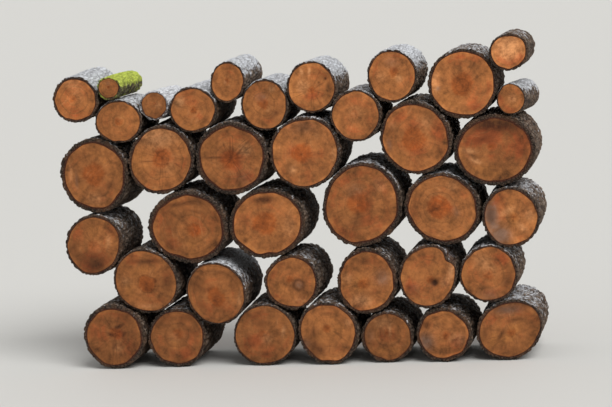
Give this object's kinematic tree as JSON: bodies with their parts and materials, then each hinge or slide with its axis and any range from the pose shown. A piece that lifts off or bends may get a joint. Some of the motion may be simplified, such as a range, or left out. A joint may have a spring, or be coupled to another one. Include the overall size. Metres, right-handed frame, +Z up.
{
  "type": "stack of logs",
  "caption": "Stack of short round logs with their bark on, sawn at both ends and laid one rank deep in rows, the thinnest on top.",
  "frame": {"origin": "on the ground under the middle of the stack", "axes": "+X along the stack to the right seen from its front, +Y along the logs away from that front, +Z up"},
  "size_m": [1.6962, 0.357, 1.1294],
  "materials": {
    "log": "sawn end grain, rough dark bark",
    "lichened_log": "sawn end grain, bark grown with yellow-green lichen",
    "pale_barked_log": "sawn end grain, thin pale bark"
  },
  "bodies": {
    "root": {"bottom_log_1": "log", "bottom_log_2": "log", "bottom_log_3": "log", "bottom_log_4": "log", "bottom_log_5": "log", "bottom_log_6": "log", "bottom_log_7": "log", "lower_log_1": "log", "lower_log_2": "log", "lower_log_3": "log", "lower_log_4": "log", "lower_log_5": "log", "lower_log_6": "log", "middle_log_1": "log", "middle_log_2": "log", "middle_log_3": "log", "middle_log_4": "log", "middle_log_5": "log", "middle_log_6": "log", "upper_log_1": "log", "upper_log_2": "log", "upper_log_3": "log", "upper_log_4": "log", "upper_log_5": "log", "upper_log_6": "log", "top_log_1": "log", "top_log_2": "lichened_log", "top_log_3": "log", "top_log_4": "pale_barked_log", "top_log_5": "log", "top_log_6": "log", "top_log_7": "log", "top_log_8": "log", "top_log_9": "log", "top_log_10": "log", "top_log_11": "log", "top_log_12": "log", "top_log_13": "log"}
  },
  "joints": []
}
